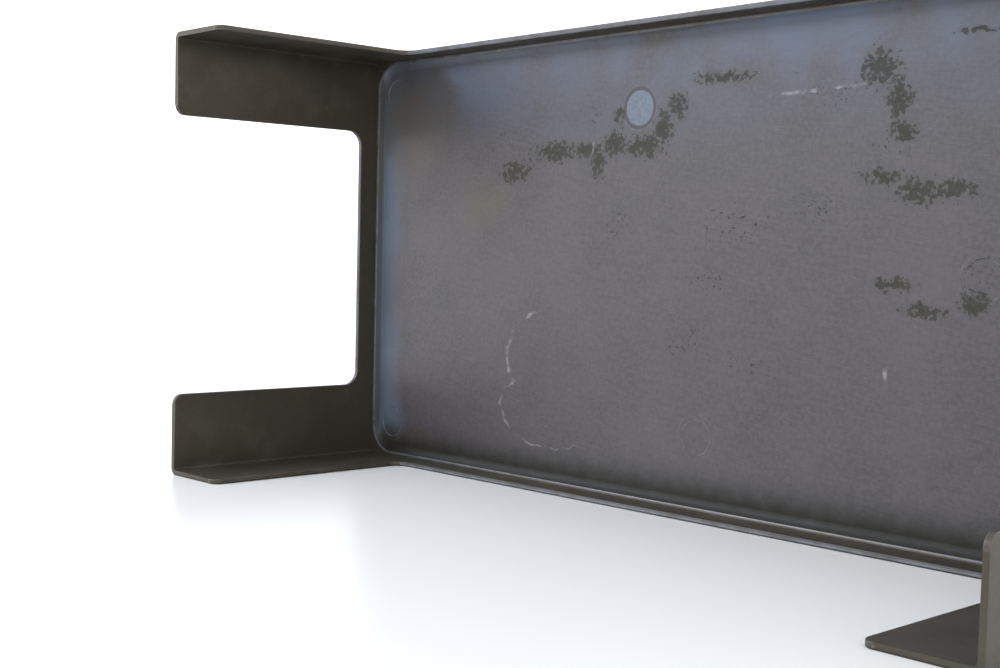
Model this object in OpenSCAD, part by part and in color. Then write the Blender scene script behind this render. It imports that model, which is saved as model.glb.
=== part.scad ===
// Low side table moulded in one piece from glass-fibre-filled plastic, stored lying on one long side.
// It is drawn standing on its feet (X along its length, Y across, Z from the feet up to the top),
// and lay() turns each sub-part onto the side on which it rests.
// "upper" and "lower" name the two long sides as the table lies; "left" and "right" name its ends.
// The sub-parts are regions of the moulding that meet at flat faces and move as one body.

/* [Table] */
// Overall length
table_l = 900; // [700:10:1200]
// Overall width, which is the height of the table as it lies
table_w = 450; // [360:10:600]
// Height from the feet to the top face
table_h = 265; // [240:5:420]
// Thickness of the legs and aprons
wall = 5; // [4:0.5:7]
// Outer radius of the upright corners
corner_r = 8; // [8:1:14]

/* [Legs] */
// Width of each of a leg's two flanges
leg_w = 83; // [70:1:110]
// Radius of each flange's corner at the foot
foot_r = 10; // [4:1:16]
// Radius of the fillet between a leg and an apron
crotch_r = 16; // [10:1:30]

/* [Rim and top] */
// How far an apron's free edge hangs below the rim's ledge
apron_drop = 22; // [15:1:40]
// Width of the ledge between an apron and the recess
ledge_w = 3; // [2:0.5:8]
// Depth of the recess from the ledge to the underside of the top
recess_depth = 5; // [4:0.5:6]
// Radius of the recess's corners, seen from below
recess_r = 30; // [20:1:35]
// Radius of the cove between the ledge and the underside of the top
cove_r = 14; // [10:1:16]
// Thickness of the top
top_t = 5; // [4:0.5:8]
// Rounding of the top's outer edge
top_edge_r = 3; // [1:0.5:3.5]

/* [Moulding marks] */
// Radius of each round ejector-pin mark
mark_r = 17; // [10:1:17]
// Depth of each mark
mark_depth = 0.4; // [0.2:0.1:1]

/* [Hidden] */

$fn = 96;
top_under_z = table_h - top_t;
ledge_z = top_under_z - recess_depth;
apron_z = ledge_z - apron_drop;
recess_inset = wall + ledge_w;
// The cove's circle rises this far past the underside of the top, so that the two meet at an edge
cove_rise = 0.25;
// Height of the cove's centre above the ledge, and its distance in from the ledge's edge
cove_z = recess_depth + cove_rise - cove_r;
cove_in = sqrt(cove_r * cove_r - cove_z * cove_z);
// Each leg carries its fillets and this short piece of each apron beyond them
shoulder_land = 6;
shoulder_w = leg_w + crotch_r + shoulder_land;
// Cuts run this far past the face that they open
past = 1;
graphite = "#4b494b";
dark_umber = "#3a3833";

// Centres of the pin marks on the underside, from the middle of the top, with Y across the table
mark_x = table_l / 2 - recess_inset - cove_in - mark_r;
mark_y = table_w / 2 - 42;
MARKS = [
    [-mark_x, -mark_y], [-mark_x, mark_y], [mark_x, -mark_y], [mark_x, mark_y],
    [-54, -148], [24, 153], [300, 3]
];

// Turns the standing table onto its long side, with the middle of that side at the origin
module lay() {
    translate([0, -table_h / 2, table_w / 2]) rotate([-90, 0, 0]) children();
}

// A rectangle about the origin with round corners, made of bars and discs
module rounded_rect(l, w, r) {
    square([l - 2 * r, w], center = true);
    square([l, w - 2 * r], center = true);
    for (sx = [-1, 1], sy = [-1, 1])
        translate([sx * (l / 2 - r), sy * (w / 2 - r)]) circle(r);
}

// The rounding of the top's edge: a quarter disc, with X outwards from the flat part
module edge_quarter() {
    intersection() {
        circle(top_edge_r);
        square(top_edge_r);
    }
}

// The top: a plate below the rounding, a smaller one above, and the rounding all round
module top_slab() {
    inset_l = table_l - 2 * top_edge_r;
    inset_w = table_w - 2 * top_edge_r;
    straight_l = table_l - 2 * corner_r;
    straight_w = table_w - 2 * corner_r;
    edge_z = table_h - top_edge_r;
    translate([0, 0, top_under_z]) linear_extrude(edge_z - top_under_z)
        rounded_rect(table_l, table_w, corner_r);
    translate([0, 0, top_under_z]) linear_extrude(top_t)
        rounded_rect(inset_l, inset_w, corner_r - top_edge_r);
    for (turn = [0, 180]) rotate([0, 0, turn]) {
        translate([-straight_l / 2, inset_w / 2, edge_z])
            rotate([90, 0, 90]) linear_extrude(straight_l) edge_quarter();
        translate([inset_l / 2, straight_w / 2, edge_z])
            rotate([90, 0, 0]) linear_extrude(straight_w) edge_quarter();
    }
    for (sx = [-1, 1], sy = [-1, 1])
        translate([sx * straight_l / 2, sy * straight_w / 2, edge_z])
            rotate_extrude() translate([corner_r - top_edge_r, 0]) edge_quarter();
}

module top_panel() {
    color(graphite) lay() difference() {
        top_slab();
        for (p = MARKS)
            translate([p[0], p[1], top_under_z - past]) cylinder(h = past + mark_depth, r = mark_r);
    }
}

// Half of the recess's cross-section, from its middle out to the ledge's edge: flat, then coved
module recess_half(reach) {
    flat = reach - cove_in;
    translate([0, -past]) square([flat, recess_depth + 2 * past]);
    intersection() {
        translate([flat, cove_z]) circle(cove_r);
        translate([flat, -past]) square([cove_in, recess_depth + 2 * past]);
    }
}

module recess_section(reach) {
    recess_half(reach);
    mirror([1, 0]) recess_half(reach);
}

// What the recess leaves open below the top: a bar each way between its corners, and a plug in each
module recess_space() {
    half_l = table_l / 2 - recess_inset;
    half_w = table_w / 2 - recess_inset;
    long = 2 * (half_l - recess_r);
    wide = 2 * (half_w - recess_r);
    translate([-long / 2, 0, 0]) rotate([90, 0, 90]) linear_extrude(long) recess_section(half_w);
    translate([0, wide / 2, 0]) rotate([90, 0, 0]) linear_extrude(wide) recess_section(half_l);
    for (sx = [-1, 1], sy = [-1, 1])
        translate([sx * long / 2, sy * wide / 2, 0]) rotate_extrude() recess_half(recess_r);
}

module recess_rim() {
    color(dark_umber) lay() translate([0, 0, ledge_z]) difference() {
        linear_extrude(recess_depth) rounded_rect(table_l, table_w, corner_r);
        recess_space();
    }
}

// A straight apron between the shoulders of two legs, along X and centred on its own middle
module apron(whole_l) {
    span = whole_l - 2 * shoulder_w;
    translate([-span / 2, -wall / 2, apron_z]) cube([span, wall, apron_drop]);
}

module end_apron(side) {
    color(dark_umber) lay()
        translate([side * (table_l - wall) / 2, 0, 0]) rotate([0, 0, 90]) apron(table_w);
}

module side_apron(side) {
    color(dark_umber) lay() translate([0, side * (table_w - wall) / 2, 0]) apron(table_l);
}

// An angle seen from above, with its outer corner at the origin and its flanges along +X and +Y
module angle_section() {
    difference() {
        union() {
            translate([corner_r, corner_r]) circle(corner_r);
            translate([corner_r, 0]) square([leg_w - corner_r, corner_r]);
            translate([0, corner_r]) square([corner_r, leg_w - corner_r]);
        }
        translate([corner_r, corner_r]) circle(corner_r - wall);
        translate([corner_r, wall]) square([leg_w, leg_w]);
        translate([wall, corner_r]) square([leg_w, leg_w]);
    }
}

// The shoulder that a flange carries beside it: a piece of apron, and the fillet under it
module shoulder_face() {
    translate([leg_w, apron_z]) square([shoulder_w - leg_w, apron_drop]);
    difference() {
        translate([leg_w, apron_z - crotch_r]) square(crotch_r);
        translate([leg_w + crotch_r, apron_z - crotch_r]) circle(crotch_r);
    }
}

// The corner that a flange loses at its foot: a square with a quarter disc left in it
module foot_cut() {
    difference() {
        translate([leg_w - foot_r, -past]) square([foot_r + past, foot_r + past]);
        translate([leg_w - foot_r, foot_r]) circle(foot_r);
    }
}

// Both flanges' faces, extruded from t0 to t1 through the wall: X is along the flange
module through_flanges(t0, t1) {
    translate([0, t1, 0]) rotate([90, 0, 0]) linear_extrude(t1 - t0) children();
    translate([t0, 0, 0]) rotate([90, 0, 90]) linear_extrude(t1 - t0) children();
}

module angle_leg() {
    difference() {
        linear_extrude(ledge_z) angle_section();
        through_flanges(-past, wall + past) foot_cut();
    }
    through_flanges(0, wall) shoulder_face();
}

module leg(end, side) {
    color(dark_umber) lay()
        mirror([end > 0 ? 1 : 0, 0, 0]) mirror([0, side > 0 ? 1 : 0, 0])
            translate([-table_l / 2, -table_w / 2, 0]) angle_leg();
}

top_panel();
recess_rim();
end_apron(-1);  // left_end_apron
end_apron(1);  // right_end_apron
side_apron(1);  // lower_side_apron
side_apron(-1);  // upper_side_apron
leg(-1, 1);  // leg_left_lower
leg(-1, -1);  // leg_left_upper
leg(1, 1);  // leg_right_lower
leg(1, -1);  // leg_right_upper
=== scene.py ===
import math

import bmesh
import bpy
from mathutils import Matrix, Vector


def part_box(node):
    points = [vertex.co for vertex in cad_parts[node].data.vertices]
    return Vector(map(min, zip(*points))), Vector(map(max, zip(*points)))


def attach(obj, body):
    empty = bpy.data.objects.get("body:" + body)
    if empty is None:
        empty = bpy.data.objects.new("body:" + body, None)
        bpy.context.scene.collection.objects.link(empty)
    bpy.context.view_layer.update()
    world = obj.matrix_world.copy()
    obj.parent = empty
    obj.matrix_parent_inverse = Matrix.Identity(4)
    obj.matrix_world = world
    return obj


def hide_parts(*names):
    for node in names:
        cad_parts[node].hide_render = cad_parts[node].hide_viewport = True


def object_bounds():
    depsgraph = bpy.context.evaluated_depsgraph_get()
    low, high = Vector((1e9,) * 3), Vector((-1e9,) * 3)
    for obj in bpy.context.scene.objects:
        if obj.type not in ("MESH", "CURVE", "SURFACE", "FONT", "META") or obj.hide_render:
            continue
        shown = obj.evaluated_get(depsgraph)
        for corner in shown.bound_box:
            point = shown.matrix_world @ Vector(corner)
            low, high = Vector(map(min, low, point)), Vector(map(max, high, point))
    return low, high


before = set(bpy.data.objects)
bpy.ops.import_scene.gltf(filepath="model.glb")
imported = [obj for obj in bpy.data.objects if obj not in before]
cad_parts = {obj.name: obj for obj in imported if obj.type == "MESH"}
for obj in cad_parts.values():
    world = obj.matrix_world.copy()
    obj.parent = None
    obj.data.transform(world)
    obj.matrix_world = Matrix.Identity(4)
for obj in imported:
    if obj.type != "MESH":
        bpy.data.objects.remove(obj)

# A low side table, moulded in one piece from glass-fibre-filled polyester and lying on one long side.
# Pieces are modelled standing on their feet (X along the table, Y across it, Z from the feet to the top)
# and LAY turns them onto the side on which the table rests.

MM = 0.001
CAD_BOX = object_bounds()

# ---------------------------------------------------------------- sizes taken from the frame


def size_of(node):
    """The lengths of a CAD node's box along X, Y and Z."""
    low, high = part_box(node)
    return high - low


TABLE_L, TABLE_H, TABLE_W = Vector(CAD_BOX[1]) - Vector(CAD_BOX[0])
SHOULDER_W, LEDGE_Z, _ = size_of("leg_left_lower")
_, APRON_DROP, WALL = size_of("lower_side_apron")
RECESS_DEPTH = size_of("recess_rim").y
TOP_T = size_of("top_panel").y
TOP_UNDER_Z = TABLE_H - TOP_T
APRON_Z = LEDGE_Z - APRON_DROP
UNDERSIDE_Y = TOP_UNDER_Z - TABLE_H / 2
LAY = Matrix.Translation((0, -TABLE_H / 2, TABLE_W / 2)) @ Matrix.Rotation(math.radians(-90), 4, "X")

# ---------------------------------------------------------------- sizes of the moulding's own details

FLANGE_W = 83 * MM
FOOT_R = 10 * MM
CROTCH_R = 16 * MM
CORNER_R = 8 * MM
# Every round corner seen from above is in this many steps, so that neighbours and loops match
CORNER_STEPS = 14
INNER_CORNER_STEPS = 8
CROTCH_STEPS = 16
FOOT_STEPS = 12
TOP_EDGE_STEPS = 6
FREE_EDGE_STEPS = 4
RIDGE_STEPS = 4
COVE_STEPS = 10
PIN_STEPS = 64
# Faces that meet at more than this many degrees are shaded with a sharp edge between them
SHARP_FROM = 50
TOP_EDGE_R = 3 * MM
LEDGE_W = 3 * MM
RECESS_R = 30 * MM
COVE_R = 14 * MM
# The cove's circle rises this far past the underside of the top, so the two meet at a faint edge
COVE_RISE = 0.25 * MM
# Rounding of the free edges of legs and aprons, and of the ridge where the ledge meets the cove
FREE_EDGE_R = 1.0 * MM
RIDGE_R = 1.8 * MM
# How much of the ledge is swept round with the ridge, before the rest is filled in
LEDGE_STRIP = 1.2 * RIDGE_R
RECESS_INSET = WALL + LEDGE_W
COVE_Z = RECESS_DEPTH + COVE_RISE - COVE_R
COVE_IN = math.sqrt(COVE_R**2 - COVE_Z**2)

# Round ejector-pin marks under the top, from its middle, with Y across the table
MARK_R = 17 * MM
MARK_DEPTH = 0.4 * MM
MARK_X = TABLE_L / 2 - RECESS_INSET - COVE_IN - MARK_R
MARK_Y = TABLE_W / 2 - 42 * MM
MARKS = [(sx * MARK_X, sy * MARK_Y) for sx in (-1, 1) for sy in (-1, 1)]
MARKS += [(-54 * MM, -148 * MM), (24 * MM, 153 * MM), (300 * MM, 3 * MM)]
# The faint rings round each mark are drawn inside a circle this many times as wide
PIN_HALO = 1.5

# Streaks in the moulding go this deep, so that they run through a wall unchanged
STREAK_DEPTH = 6 * MM

# ---------------------------------------------------------------- the view

CAMERA_PLACE = (0.8417, -0.8789, 0.2341)
# Degrees from looking along +Y, downwards, and about the line of sight
CAMERA_TURNED = 47.02
CAMERA_DOWN = 3.23
CAMERA_ROLL = 1.29
SENSOR_WIDTH = 36
LENS_LENGTH = 51.3
FLOOR_HALF = 12

# ---------------------------------------------------------------- mesh helpers


def edges_where(bm, test):
    """The edges whose two ends both pass a test on their place."""
    return [e for e in bm.edges if all(test(v.co) for v in e.verts)]


def near(a, b):
    return abs(a - b) < 0.01 * MM


def start_mesh():
    """An empty mesh whose faces can be marked as belonging to a worn edge that is also painted with a
    highlight.
    """
    bm = bmesh.new()
    bm.faces.layers.float.new("edge_wear_and_highlight")
    return bm


def round_off(bm, edges, radius, segments, worn=0):
    """Rounds these edges to a radius, and marks how far the rounding is worn and painted with a highlight."""
    made = bmesh.ops.bevel(
        bm, geom=edges, offset=radius, offset_type="OFFSET", affect="EDGES",
        segments=segments, profile=0.5, material=-1, clamp_overlap=False,
    )
    layer = bm.faces.layers.float["edge_wear_and_highlight"]
    for face in made["faces"]:
        face[layer] = worn


def wear_and_highlight_edges_below(bm, lowest):
    """Marks the faces that look towards the feet as worn and painted with a highlight, from this height up.
    """
    layer = bm.faces.layers.float["edge_wear_and_highlight"]
    bm.normal_update()
    for face in bm.faces:
        if face.normal.z < -0.5 and face.calc_center_median().z > lowest:
            face[layer] = 1


def extrude(bm, faces, along):
    """Extrudes a flat region of faces by a vector. What then lies inside the solid is deleted."""
    grown = bmesh.ops.extrude_face_region(bm, geom=faces)["geom"]
    bmesh.ops.translate(bm, verts=[v for v in grown if isinstance(v, bmesh.types.BMVert)], vec=along)
    inside = [f for f in faces if any(len(e.link_faces) > 2 for e in f.edges)]
    bmesh.ops.delete(bm, geom=inside, context="FACES_ONLY")


def round_plate(bm, length, width, radius, z):
    """A flat face with round corners, centred on the origin at height z."""
    made = bmesh.ops.create_grid(bm, x_segments=1, y_segments=1, size=0.5)["verts"]
    bmesh.ops.scale(bm, vec=(length, width, 1), verts=made)
    bmesh.ops.translate(bm, vec=(0, 0, z), verts=made)
    bmesh.ops.bevel(
        bm, geom=made, offset=radius, offset_type="OFFSET", affect="VERTICES",
        segments=CORNER_STEPS, profile=0.5, material=-1,
    )


def finish_piece(name, bm, material, node):
    """Lays the mesh on its side, shades it smooth between true corners, and puts it in a CAD node's place."""
    bmesh.ops.transform(bm, matrix=LAY, verts=bm.verts)
    bmesh.ops.recalc_face_normals(bm, faces=bm.faces)
    mesh = bpy.data.meshes.new(name)
    bm.to_mesh(mesh)
    bm.free()
    mesh.shade_smooth()
    mesh.set_sharp_from_angle(angle=math.radians(SHARP_FROM))
    piece = bpy.data.objects.new(name, mesh)
    bpy.context.scene.collection.objects.link(piece)
    mesh.materials.append(material)
    weighted = piece.modifiers.new("flat faces stay flat", "WEIGHTED_NORMAL")
    weighted.keep_sharp = True
    weighted.weight = 100
    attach(piece, "root")
    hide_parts(node)
    return piece


# ---------------------------------------------------------------- the moulding's regions


def leg_shape(bm):
    """An angle leg with its shoulders: outer corner at the origin, flanges along +X and +Y."""
    outline = [(0, 0), (FLANGE_W, 0), (FLANGE_W, WALL), (WALL, WALL), (WALL, FLANGE_W), (0, FLANGE_W)]
    foot = bm.faces.new([bm.verts.new((x, y, 0)) for x, y in outline])
    extrude(bm, [foot], (0, 0, APRON_Z))
    top = [f for f in bm.faces if near(f.calc_center_median().z, APRON_Z)]
    extrude(bm, top, (0, 0, APRON_DROP))
    for axis in (Vector((1, 0, 0)), Vector((0, 1, 0))):
        ends = [
            f for f in bm.faces
            if near(f.calc_center_median() @ axis, FLANGE_W) and f.calc_center_median().z > APRON_Z
        ]
        extrude(bm, ends, axis * (SHOULDER_W - FLANGE_W))
    bmesh.ops.recalc_face_normals(bm, faces=bm.faces)
    bmesh.ops.dissolve_limit(bm, angle_limit=math.radians(1), verts=bm.verts, edges=bm.edges)
    # the upright corner, outside and inside the angle
    round_off(bm, edges_where(bm, lambda c: near(c.x, 0) and near(c.y, 0)), CORNER_R, CORNER_STEPS)
    inner = edges_where(bm, lambda c: near(c.x, WALL) and near(c.y, WALL))
    round_off(bm, inner, CORNER_R - WALL, INNER_CORNER_STEPS)
    # the fillet under each shoulder, and each flange's corner at the foot
    at_flange_end = lambda c: near(max(c.x, c.y), FLANGE_W)
    round_off(bm, edges_where(bm, lambda c: at_flange_end(c) and near(c.z, APRON_Z)), CROTCH_R, CROTCH_STEPS)
    round_off(bm, edges_where(bm, lambda c: at_flange_end(c) and near(c.z, 0)), FOOT_R, FOOT_STEPS)
    round_off(bm, free_edges(bm), FREE_EDGE_R, FREE_EDGE_STEPS, worn=0.5)
    bmesh.ops.recalc_face_normals(bm, faces=bm.faces)
    wear_and_highlight_edges_below(bm, APRON_Z - CROTCH_R / 4)


def free_edges(bm):
    """The long edges where a leg's skins meet the narrow face that runs round it, apart from its seams."""
    found = []
    for e in bm.edges:
        depths = sorted(depth_in_wall(f.calc_center_median()) for f in e.link_faces)
        middle = 0.5 * (e.verts[0].co + e.verts[1].co)
        on_seam = near(middle.z, LEDGE_Z) or near(max(middle.x, middle.y), SHOULDER_W)
        across_skin = any(near(d, WALL / 2) for d in depths) and not near(depths[0], depths[-1])
        if across_skin and not on_seam:
            found.append(e)
    return found


def depth_in_wall(point):
    """How far a point of an angle leg lies in from its outer skin."""
    if point.x < CORNER_R and point.y < CORNER_R:
        return CORNER_R - math.hypot(CORNER_R - point.x, CORNER_R - point.y)
    return min(point.x, point.y)


def make_leg(name, end, side, material):
    bm = start_mesh()
    leg_shape(bm)
    place = Matrix.Diagonal((-end, -side, 1, 1)) @ Matrix.Translation((-TABLE_L / 2, -TABLE_W / 2, 0))
    bmesh.ops.transform(bm, matrix=place, verts=bm.verts)
    finish_piece(name + "_moulding", bm, material, name)


def make_apron(name, whole_length, centre, turn, material):
    """A straight bar between two shoulders, with its free edge rounded on both sides."""
    bm = start_mesh()
    bmesh.ops.create_cube(bm, size=1)
    span = whole_length - 2 * SHOULDER_W
    bmesh.ops.scale(bm, vec=(span, WALL, APRON_DROP), verts=bm.verts)
    round_off(
        bm,
        [
            e for e in edges_where(bm, lambda c: c.z < 0)
            if near(e.verts[0].co.y, e.verts[1].co.y)
        ],
        FREE_EDGE_R, FREE_EDGE_STEPS, worn=0.5,
    )
    wear_and_highlight_edges_below(bm, -APRON_DROP)
    place = Matrix.Translation((*centre, APRON_Z + APRON_DROP / 2)) @ Matrix.Rotation(turn, 4, "Z")
    bmesh.ops.transform(bm, matrix=place, verts=bm.verts)
    finish_piece(name + "_moulding", bm, material, name)


def make_rim(material, cove_material):
    """The frame round the recess: a strip of ledge and the cove, swept round four corners, then filled in."""
    bm = start_mesh()
    reach = Vector((TABLE_L / 2 - RECESS_INSET - RECESS_R, TABLE_W / 2 - RECESS_INSET - RECESS_R, 0))
    ledge = bm.verts.new((reach.x + RECESS_R + LEDGE_STRIP, reach.y, LEDGE_Z))
    ridge = bmesh.ops.extrude_vert_indiv(bm, verts=[ledge])["verts"][0]
    ridge.co.x = reach.x + RECESS_R
    cove_centre = (ridge.co.x - COVE_IN, reach.y, LEDGE_Z + COVE_Z)
    sweep = math.acos(COVE_IN / COVE_R) - math.asin((COVE_R - COVE_RISE) / COVE_R)
    bmesh.ops.spin(bm, geom=[ridge], cent=cove_centre, axis=(0, 1, 0), angle=sweep, steps=COVE_STEPS)
    section = list(bm.edges)
    for corner in range(4):
        turn = Matrix.Rotation(math.radians(90 * corner), 3, "Z")
        centre = Vector((reach.x * (1, -1, -1, 1)[corner], reach.y * (1, 1, -1, -1)[corner], 0))
        straight = turn @ Vector((-1, 0, 0)) * (2 * (reach.y if corner % 2 else reach.x))
        spun = bmesh.ops.spin(
            bm, geom=section + list({v for e in section for v in e.verts}),
            cent=centre, axis=(0, 0, 1), angle=math.radians(90), steps=CORNER_STEPS,
        )
        section = [g for g in spun["geom_last"] if isinstance(g, bmesh.types.BMEdge)]
        grown = bmesh.ops.extrude_edge_only(bm, edges=section)["geom"]
        moved = [g for g in grown if isinstance(g, bmesh.types.BMVert)]
        bmesh.ops.translate(bm, verts=moved, vec=straight)
        section = [
            g for g in grown
            if isinstance(g, bmesh.types.BMEdge) and all(v in moved for v in g.verts)
        ]
    bmesh.ops.remove_doubles(bm, verts=bm.verts, dist=0.01 * MM)
    bmesh.ops.recalc_face_normals(bm, faces=bm.faces)
    ridge_loop = [
        e for e in edges_where(bm, lambda c: near(c.z, LEDGE_Z))
        if not e.is_boundary and e.calc_face_angle() > math.radians(30)
    ]
    # the ridge's rounding is marked as worn, which also paints a highlight on it
    round_off(bm, ridge_loop, RIDGE_R, RIDGE_STEPS, worn=1)
    ledge_hole = [e for e in edges_where(bm, lambda c: near(c.z, LEDGE_Z)) if e.is_boundary]
    cove_top = [e for e in edges_where(bm, lambda c: near(c.z, TOP_UNDER_Z)) if e.is_boundary]
    # the rest of the ledge, out to the table's outline, then the outer wall and the hidden face above
    swept = set(bm.faces)
    worn = bm.faces.layers.float["edge_wear_and_highlight"]
    for face in swept:
        if not face[worn] and not near(face.calc_center_median().z, LEDGE_Z):
            face.material_index = 1
    round_plate(bm, TABLE_L, TABLE_W, CORNER_R, LEDGE_Z)
    outline = [e for e in bm.edges if not any(f in swept for f in e.link_faces)]
    bmesh.ops.delete(bm, geom=[f for f in bm.faces if f not in swept], context="FACES_ONLY")
    bmesh.ops.triangle_fill(bm, edges=ledge_hole + outline, use_beauty=True, normal=(0, 0, 1))
    grown = bmesh.ops.extrude_edge_only(bm, edges=outline)["geom"]
    raised = [g for g in grown if isinstance(g, bmesh.types.BMVert)]
    bmesh.ops.translate(bm, verts=raised, vec=(0, 0, RECESS_DEPTH))
    rim_top = [g for g in grown if isinstance(g, bmesh.types.BMEdge) and all(v in raised for v in g.verts)]
    bmesh.ops.triangle_fill(bm, edges=cove_top + rim_top, use_beauty=True, normal=(0, 0, 1))
    rim = finish_piece("recess_rim_moulding", bm, material, "recess_rim")
    rim.data.materials.append(cove_material)


def make_top(material, outer_material):
    """The top: a round-cornered plate with a soft outer edge, and shallow pin marks sunk underneath."""
    bm = start_mesh()
    round_plate(bm, TABLE_L, TABLE_W, CORNER_R, TOP_UNDER_Z)
    extrude(bm, list(bm.faces), (0, 0, TOP_T))
    round_off(bm, edges_where(bm, lambda c: near(c.z, TABLE_H)), TOP_EDGE_R, TOP_EDGE_STEPS, worn=1)
    for face in bm.faces:
        if not near(face.calc_center_median().z, TOP_UNDER_Z):
            face.material_index = 1
    top = finish_piece("top_panel_moulding", bm, material, "top_panel")
    top.data.materials.append(outer_material)
    bm = bmesh.new()
    for x, y in MARKS:
        bmesh.ops.create_cone(
            bm, cap_ends=True, segments=PIN_STEPS, radius1=MARK_R + MARK_DEPTH, radius2=MARK_R - MARK_DEPTH,
            depth=2 * MARK_DEPTH, matrix=Matrix.Translation((x, y, TOP_UNDER_Z)),
        )
    bmesh.ops.transform(bm, matrix=LAY, verts=bm.verts)
    mesh = bpy.data.meshes.new("pin_cutters")
    bm.to_mesh(mesh)
    bm.free()
    cutters = bpy.data.objects.new("pin_cutters", mesh)
    bpy.context.scene.collection.objects.link(cutters)
    cut = top.modifiers.new("pin marks", "BOOLEAN")
    cut.object = cutters
    top.modifiers.move(len(top.modifiers) - 1, 0)
    bpy.context.view_layer.update()
    done = bpy.data.meshes.new_from_object(top.evaluated_get(bpy.context.evaluated_depsgraph_get()))
    top.modifiers.clear()
    top.data = done
    bpy.data.objects.remove(cutters)


# ---------------------------------------------------------------- materials


def linear(hex_colour):
    """An sRGB hex colour as linear red, green and blue, with alpha."""
    parts = [int(hex_colour[i : i + 2], 16) / 255 for i in (1, 3, 5)]
    return (*(p / 12.92 if p <= 0.04045 else ((p + 0.055) / 1.055) ** 2.4 for p in parts), 1)


def add(tree, kind, inputs=None, stops=(), **settings):
    """Adds a node with its settings, and a ramp's (place, level) stops, which lie between 0 and 1.

    An input given a socket, or a node for its first output, is linked to it, and any other is set.
    """
    made = tree.nodes.new("ShaderNode" + kind)
    for name, value in settings.items():
        setattr(made, name, value)
    for name, value in (inputs or {}).items():
        if isinstance(value, bpy.types.Node):
            value = value.outputs[0]
        if isinstance(value, bpy.types.NodeSocket):
            tree.links.new(value, made.inputs[name])
        else:
            made.inputs[name].default_value = value
    for count, (where, level) in enumerate(stops):
        points = made.color_ramp.elements
        if count == 0:
            points.remove(points[1])
        point = points.new(where) if count else points[0]
        point.position = where
        point.color = (level, level, level, 1)
    return made


def new_material(name):
    """A material with an empty tree, the tree, and the coordinates of the object."""
    material = bpy.data.materials.new(name)
    material.use_nodes = True
    tree = material.node_tree
    tree.nodes.clear()
    place = add(tree, "TexCoord").outputs["Object"]
    return material, tree, place


def finish_material(tree, inputs):
    shader = add(tree, "BsdfPrincipled", inputs)
    add(tree, "OutputMaterial", {"Surface": shader})


def clouds(tree, place, size, stops, detail=2, distortion=0):
    """An amount that follows cloudy noise, with features of a size in mm."""
    noise = add(tree, "TexNoise", {
        "Vector": place, "Scale": 1 / (size * MM), "Detail": detail, "Distortion": distortion,
    })
    return add(tree, "ValToRGB", {"Fac": noise}, stops)


def streaks(tree, place, turn, along, across, stops, detail):
    """An amount that follows noise whose features run at an angle on the underside, with sizes in mm."""
    laid = add(tree, "Mapping", {
        "Vector": place, "Rotation": (0, math.radians(turn), 0),
        "Scale": (along * MM, STREAK_DEPTH, across * MM),
    }, vector_type="TEXTURE")
    noise = add(tree, "TexNoise", {"Vector": laid, "Scale": 1, "Detail": detail})
    return add(tree, "ValToRGB", {"Fac": noise}, stops)


def wavered(tree, place, size, shift):
    """The same place, shifted to and fro by noise. Both lengths are in mm."""
    noise = add(tree, "TexNoise", {"Vector": place, "Scale": 1 / (size * MM), "Detail": 3})
    centred = add(tree, "VectorMath", {0: noise.outputs["Color"], 1: (0.5, 0.5, 0.5)}, operation="SUBTRACT")
    shifted = {0: centred, 1: (2 * shift * MM,) * 3, 2: place}
    return add(tree, "VectorMath", shifted, operation="MULTIPLY_ADD")


def patch(tree, place, x, z, half_x, half_z, turn=0):
    """How far from the middle of an oval a point lies: 0 at its middle and 1 at its rim. Sizes are in mm."""
    local = add(tree, "Mapping", {
        "Vector": place, "Location": (x * MM, UNDERSIDE_Y, z * MM),
        "Rotation": (0, math.radians(turn), 0), "Scale": (half_x * MM, 1, half_z * MM),
    }, vector_type="TEXTURE")
    return add(tree, "VectorMath", {0: local}, operation="LENGTH").outputs["Value"]


def nearest_patch(tree, place, ovals):
    """The smallest patch() value over several ovals."""
    least = patch(tree, place, *ovals[0])
    for oval in ovals[1:]:
        value = patch(tree, place, *oval)
        least = add(tree, "Math", {0: least, 1: value}, operation="MINIMUM")
    return least


def marks(tree, place, ovals, stops):
    """An amount that goes by how far out a point lies in the nearest of several ovals."""
    return add(tree, "ValToRGB", {"Fac": nearest_patch(tree, place, ovals)}, stops)


def fine_relief(tree, place, wave_depth, grain_depth):
    """Bump in two sizes: slow waviness from shrinkage over the fibres, and the tool's fine grain, in mm."""
    below = {}
    for size, depth in ((14, wave_depth), (1.3, grain_depth)):
        height = add(tree, "TexNoise", {"Vector": place, "Scale": 1 / (size * MM), "Detail": 3})
        relief = add(tree, "Bump", {"Height": height, "Distance": depth * MM, "Strength": 1, **below})
        below = {"Normal": relief}
    return relief


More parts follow.
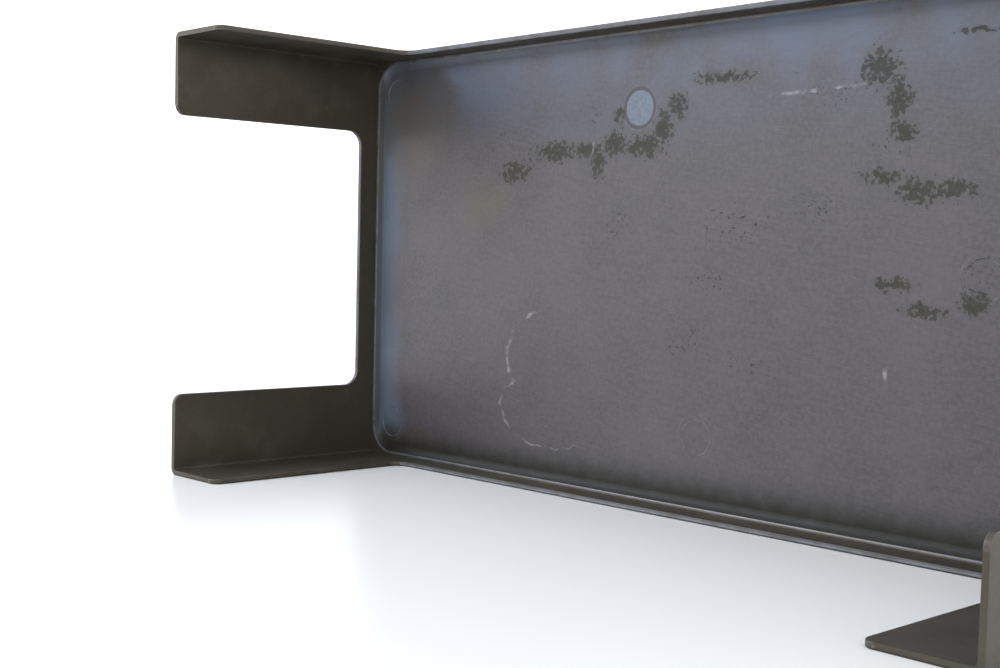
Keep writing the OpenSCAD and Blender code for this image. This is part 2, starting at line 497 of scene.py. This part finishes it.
def shell_material():
    """Glass-fibre-filled polyester, compression moulded: warm black, satin, with a cloudy flow.

    It gives the eye a dark, slightly brown plastic that picks up broad pale reflections, with pale fibre
    flecks, thin scratches, and edges that handling has rubbed lighter and smoother, with a painted bluish
    highlight on them, a painted highlight along the lowest edge and a painted contact shadow under it.
    """
    material, tree, place = new_material("moulded glass-filled polyester")
    flow = clouds(tree, place, 55, [(0.3, 0), (0.72, 1)], detail=5, distortion=0.6)
    warmth = clouds(tree, place, 130, [(0.4, 0), (0.7, 0.6)])
    # glass fibres that lie near the surface, long thin scratches from stacking, and dust in soft drifts
    fibres = streaks(tree, place, 28, 1, 0.14, [(0.68, 0), (0.76, 1)], detail=1)
    seen_fibres = add(tree, "Math", {0: fibres, 1: flow}, operation="MULTIPLY")
    scratches = streaks(tree, place, -17, 32, 0.16, [(0.72, 0), (0.76, 0.8)], detail=1)
    dust = clouds(tree, place, 38, [(0.56, 0), (0.8, 0.16)], detail=6)
    # edges: rubbed lighter in stretches and painted with a bluish highlight, though not along the inner side
    # of the lowest one
    height = add(tree, "SeparateXYZ", {"Vector": place}).outputs["Z"]
    raised = add(tree, "MapRange", {"Value": height, "From Min": 5 * MM, "From Max": 8 * MM})
    low = add(tree, "MapRange", {"Value": height, "From Min": 5 * MM, "From Max": 2.4 * MM})
    reached = add(tree, "Math", {0: raised, 1: low}, operation="MAXIMUM")
    edge = add(tree, "Attribute", attribute_name="edge_wear_and_highlight").outputs["Fac"]
    smoothed = add(tree, "Math", {0: edge, 1: reached}, operation="MULTIPLY")
    stretches = clouds(tree, place, 16, [(0.35, 0.35), (0.6, 1)], detail=4)
    rubbed_and_highlit = add(tree, "Math", {0: smoothed, 1: stretches}, operation="MULTIPLY")
    # a painted highlight, lighter and bluish, on the lowest free edge, and a painted contact shadow where it
    # meets the floor
    painted_low_edge_highlight = add(tree, "Math", {0: low, 1: rubbed_and_highlit}, operation="MULTIPLY")
    # painted contact shadow, darkest within a millimetre of the floor
    painted_contact_shadow = add(tree, "MapRange", {
        "Value": height, "From Min": 1.8 * MM, "From Max": 1.0 * MM, "To Max": 0.95,
    })
    # the rubbed edges' lighter bluish colour is partly a painted highlight
    colour = linear("#2b2a23")
    for amount, over in (
        (flow, "#39372f"), (warmth, "#3a332b"), (seen_fibres, "#55524c"), (scratches, "#6b6862"),
        (dust, "#77746c"), (rubbed_and_highlit, "#4f545e"), (painted_low_edge_highlight, "#6b6f76"), (painted_contact_shadow, "#12110e"),
    ):
        colour = add(tree, "MixRGB", {"Fac": amount, "Color1": colour, "Color2": linear(over)})
    rough = add(tree, "MapRange", {"Value": flow, "To Min": 0.44, "To Max": 0.34})
    for amount, change in ((dust, 0.4), (smoothed, -0.12)):
        rough = add(tree, "Math", {0: amount, 1: change, 2: rough}, operation="MULTIPLY_ADD")
    finish_material(tree, {
        "Base Color": colour, "Roughness": rough, "IOR": 1.5, "Specular Tint": linear("#ffeeda"),
        "Normal": fine_relief(tree, place, 0.25, 0.03),
    })
    return material


# What has marked the underside of the top, and where it is browner, as ovals: X and height as it lies, half
# sizes, turn (mm, degrees)
OIL = [
    (-219, 318, 34, 18), (-162, 336, 50, 14), (-120, 335, 32, 15), (-106, 323, 13, 20),
    (-84, 341, 20, 19), (-48, 337, 42, 16), (-24, 353, 17, 26), (-8, 372, 19, 20),
    (-81, 366, 11, 11), (44, 394, 46, 8), (203, 390, 27, 23), (219, 364, 18, 26),
    (225, 338, 20, 13), (210, 302, 32, 10), (240, 290, 28, 16), (270, 291, 36, 12),
    (222, 217, 26, 10), (250, 196, 30, 9), (292, 204, 18, 14), (286, 412, 24, 3),
]
SPECK_FIELDS = [
    (56, 265, 64, 24), (36, 213, 36, 14), (-77, 265, 24, 22), (146, 279, 30, 20),
    (162, 373, 32, 16), (214, 324, 28, 13), (124, 398, 14, 8), (-111, 368, 16, 13),
    (300, 225, 30, 30), (9, 159, 30, 22), (76, 143, 26, 14), (-242, 350, 26, 18),
]
BROWN_PATCHES = [(-405, 385, 120, 80), (-268, 285, 50, 36), (-395, 20, 90, 20)]
DRIED_EDGES = [(-118, 130, 124, 66), (-165, 78, 80, 42)]
PALE_SPOTS = [(138, 376, 60, 2, -2), (217, 147, 3, 10), (-112, 337, 2, 8), (41, 397, 5, 3)]
# How far the dried edges are seen, and the pin mark that has stayed pale
RIMS_SEEN = [(-190, 105, 100, 85)]
PALE_PIN = (-54, 373, 26, 26)


def underside_material():
    """The same polyester under the top, where it has been wiped, stained and left to dry.

    It gives the eye a grey-violet satin field with a painted bluish reflection along the raised side and at
    the far end, and painted shade along the lowest edge and in the coves, with ragged olive oil stains
    that have lost their gloss, one pale pin mark and several faint ones, dark specks, thin dried edges
    and scratches.
    """
    material, tree, place = new_material("underside of the top, oil-stained polyester")
    # a mottle of resin and fibre a few millimetres across, with faint streaks along the table and up it
    flow = clouds(tree, place, 70, [(0.3, 0), (0.7, 1)], detail=5, distortion=0.5)
    mottle = clouds(tree, place, 4, [(0.38, 0), (0.62, 0.65)], detail=5)
    wiped = streaks(tree, place, 8, 24, 0.5, [(0.42, 0), (0.7, 0.6)], detail=4)
    weave = streaks(tree, place, 90, 8, 0.4, [(0.45, 0), (0.68, 0.35)], detail=3)
    # a painted bluish reflection along the raised side and at the far end, and browner patches in the corners
    # there
    drifted = add(tree, "SeparateXYZ", {"Vector": wavered(tree, place, 70, 24)})
    raised = add(tree, "MapRange", {
        "Value": drifted.outputs["Z"], "From Min": 0.74 * TABLE_W, "From Max": 0.97 * TABLE_W,
    })
    # painted bluish reflection along the raised side
    blue = add(tree, "Math", {0: raised, 1: flow}, operation="MULTIPLY")
    # painted bluish reflection at the far end
    far = add(tree, "MapRange", {
        "Value": drifted.outputs["X"], "From Min": -0.44 * TABLE_L, "From Max": -0.485 * TABLE_L,
    })
    brown_patches = marks(tree, wavered(tree, place, 40, 20), BROWN_PATCHES, [(0.1, 0.65), (1, 0)])
    # painted shade along the lowest edge, and in the cove at both ends
    ragged = wavered(tree, place, 14, 6)
    shade_along_low_edge = add(tree, "MapRange", {
        "Value": add(tree, "SeparateXYZ", {"Vector": ragged}).outputs["Z"],
        "From Min": 52 * MM, "From Max": 12 * MM,
    }, interpolation_type="SMOOTHSTEP")
    along = add(tree, "SeparateXYZ", {"Vector": place}).outputs["X"]
    from_middle = add(tree, "Math", {0: along}, operation="ABSOLUTE")
    in_cove = add(tree, "MapRange", {
        "Value": from_middle, "From Min": TABLE_L / 2 - RECESS_INSET - 0.9 * COVE_IN,
        "From Max": TABLE_L / 2 - RECESS_INSET - 0.4 * COVE_IN, "To Max": 0.8,
    })
    painted_shade = add(tree, "Math", {0: shade_along_low_edge, 1: in_cove}, operation="MAXIMUM")
    # oil: soaked in softly, with blots whose edges break up into crumbs, and specks around them
    from_oil = nearest_patch(tree, ragged, OIL)
    soaked = add(tree, "ValToRGB", {"Fac": from_oil}, [(0.55, 0.4), (1, 0)])
    noise = add(tree, "TexNoise", {"Vector": place, "Scale": 1 / (3.5 * MM), "Detail": 6})
    crumbs = add(tree, "MapRange", {"Value": noise, "From Min": 0.3, "From Max": 0.7, "To Max": 0.5})
    blots = add(tree, "Math", {0: from_oil, 1: 0.5, 2: crumbs}, operation="MULTIPLY_ADD")
    oil = add(tree, "ValToRGB", {"Fac": blots}, [(0.3, 0.8), (0.5, 0.6), (0.53, 0)])
    fields = marks(tree, ragged, SPECK_FIELDS, [(0.45, 0.85), (1, 0)])
    grit = clouds(tree, place, 3.2, [(0.6, 0), (0.65, 1)], detail=3)
    specks = add(tree, "Math", {0: grit, 1: fields}, operation="MULTIPLY")
    dirt = add(tree, "Math", {0: oil, 1: specks}, operation="MAXIMUM")
    # thin pale edges where puddles dried, pale spots, and fine scratches
    rims = marks(tree, ragged, DRIED_EDGES, [(0.86, 0), (0.885, 1), (0.91, 0)])
    here = marks(tree, place, RIMS_SEEN, [(0.75, 1), (1, 0)])
    dried = add(tree, "Math", {0: rims, 1: here}, operation="MULTIPLY")
    spots = marks(tree, wavered(tree, place, 6, 1.5), PALE_SPOTS, [(0.5, 0.8), (1, 0)])
    broken = clouds(tree, place, 12, [(0.42, 0), (0.6, 0.75)], detail=4)
    pale = add(tree, "Math", {0: dried, 1: spots}, operation="MAXIMUM")
    pale = add(tree, "Math", {0: pale, 1: broken}, operation="MULTIPLY")
    scratches = streaks(tree, place, -12, 18, 0.16, [(0.7, 0), (0.74, 0.4)], detail=2)
    # pin marks: a thin double ring round each, and one that has stayed clean and pale
    around_pins = [(x / MM, (TABLE_W / 2 - y) / MM, *[PIN_HALO * MARK_R / MM] * 2) for x, y in MARKS]
    rings = marks(tree, place, around_pins, [
        (0.6, 0), (0.65, 0.4), (0.69, 0), (0.78, 0), (0.82, 0.22), (0.86, 0),
    ])
    rings = add(tree, "Math", {0: rings, 1: broken}, operation="MULTIPLY")
    from_pin = patch(tree, wavered(tree, place, 5, 0.8), *PALE_PIN)
    disc = add(tree, "ValToRGB", {"Fac": from_pin}, [(0.4, 0.62), (0.61, 0.85), (0.66, 0)])
    speckled = add(tree, "Math", {0: disc, 1: mottle}, operation="MULTIPLY")
    dark_ring = add(tree, "ValToRGB", {"Fac": from_pin}, [(0.62, 0), (0.68, 0.95), (0.76, 0.7), (0.8, 0)])
    # the darkest colour, along the lowest edge and in the coves, is painted shade
    colour = linear("#312d2f")
    for amount, over in (
        (flow, "#3f3a3e"), (mottle, "#484447"), (wiped, "#4f4b4e"), (weave, "#2b282a"),
        (blue, "#404c5e"), (far, "#535f6c"), (brown_patches, "#4c4538"), (painted_shade, "#24231e"),
        (soaked, "#33312a"), (dirt, "#2e2d24"), (pale, "#8b8a8c"), (scratches, "#77757a"),
        (rings, "#7d7f85"), (speckled, "#7f8b9a"), (disc, "#545f6c"), (dark_ring, "#282722"),
    ):
        colour = add(tree, "MixRGB", {"Fac": amount, "Color1": colour, "Color2": linear(over)})
    rough = add(tree, "MapRange", {"Value": flow, "To Min": 0.45, "To Max": 0.38})
    for amount, change in ((wiped, 0.1), (dirt, 0.15)):
        rough = add(tree, "Math", {0: amount, 1: change, 2: rough}, operation="MULTIPLY_ADD")
    # oil takes the gloss away, and so does the painted shade
    heavy_painted_shade = add(tree, "Math", {0: painted_shade, 1: painted_shade}, operation="MULTIPLY")
    dull = add(tree, "Math", {0: heavy_painted_shade, 1: dirt}, operation="MAXIMUM")
    gloss = add(tree, "MapRange", {"Value": dull, "To Min": 0.5, "To Max": 0.14})
    finish_material(tree, {
        "Base Color": colour, "Roughness": rough, "Specular IOR Level": gloss, "IOR": 1.53,
        "Normal": fine_relief(tree, place, 0.3, 0.04),
    })
    return material


# ---------------------------------------------------------------- the table

shell = shell_material()
underside = underside_material()
make_top(underside, shell)
make_rim(shell, underside)
for end_name, end in (("left", -1), ("right", 1)):
    for side_name, side in (("lower", 1), ("upper", -1)):
        make_leg(f"leg_{end_name}_{side_name}", end, side, shell)
    make_apron(
        f"{end_name}_end_apron", TABLE_W, (end * (TABLE_L - WALL) / 2, 0), end * math.radians(90), shell
    )
for side_name, side in (("lower", 1), ("upper", -1)):
    make_apron(f"{side_name}_side_apron", TABLE_L, (0, side * (TABLE_W - WALL) / 2), 0, shell)

# ---------------------------------------------------------------- floor, light and camera


def make_floor():
    bm = bmesh.new()
    bmesh.ops.create_grid(bm, x_segments=1, y_segments=1, size=FLOOR_HALF)
    mesh = bpy.data.meshes.new("floor")
    bm.to_mesh(mesh)
    bm.free()
    floor = bpy.data.objects.new("floor", mesh)
    bpy.context.scene.collection.objects.link(floor)
    # white paint, smooth enough to hold a soft reflection of what stands on it
    material, tree, _ = new_material("white painted floor")
    finish_material(tree, {"Base Color": linear("#e2e1de"), "Roughness": 0.3})
    mesh.materials.append(material)


def make_light(name, place, target, size, power, colour):
    lamp = bpy.data.lights.new(name, "AREA")
    lamp.shape = "RECTANGLE"
    lamp.size, lamp.size_y = size
    lamp.energy = power
    lamp.color = linear(colour)[:3]
    holder = bpy.data.objects.new(name, lamp)
    holder.location = place
    holder.rotation_euler = (Vector(target) - Vector(place)).to_track_quat("-Z", "Y").to_euler()
    bpy.context.scene.collection.objects.link(holder)


def make_camera():
    """The camera looks from low in front of the near end, along the table towards its far end."""
    lens = bpy.data.cameras.new("camera")
    lens.sensor_width = SENSOR_WIDTH
    lens.lens = LENS_LENGTH
    lens.clip_start = 0.01
    camera = bpy.data.objects.new("camera", lens)
    bpy.context.scene.collection.objects.link(camera)
    turned, down, roll = (math.radians(a) for a in (CAMERA_TURNED, CAMERA_DOWN, CAMERA_ROLL))
    camera.matrix_world = (
        Matrix.Translation(CAMERA_PLACE)
        @ Matrix.Rotation(turned, 4, "Z")
        @ Matrix.Rotation(math.radians(90) - down, 4, "X")
        @ Matrix.Rotation(roll, 4, "Z")
    )
    bpy.context.scene.camera = camera


def make_world():
    """A white studio: brightest at eye level, and dimmer and cooler overhead."""
    world = bpy.data.worlds.new("white studio")
    bpy.context.scene.world = world
    world.use_nodes = True
    tree = world.node_tree
    up = add(tree, "SeparateXYZ", {"Vector": add(tree, "TexCoord").outputs["Generated"]}).outputs["Z"]
    strength = add(tree, "MapRange", {"Value": up, "From Min": 0.1, "To Min": 2.1, "To Max": 1.45})
    colour = add(tree, "MixRGB", {"Fac": up, "Color1": linear("#fffefc"), "Color2": linear("#ecf1f8")})
    sky = tree.nodes["Background"]
    tree.links.new(colour.outputs[0], sky.inputs["Color"])
    tree.links.new(strength.outputs[0], sky.inputs["Strength"])


bpy.context.scene.view_settings.view_transform = "Standard"
make_floor()
make_world()
make_light("window", (-1.7, -1.9, 1.7), (0, 0, 0.2), (1.3, 0.8), 40, "#dce8ff")
make_camera()
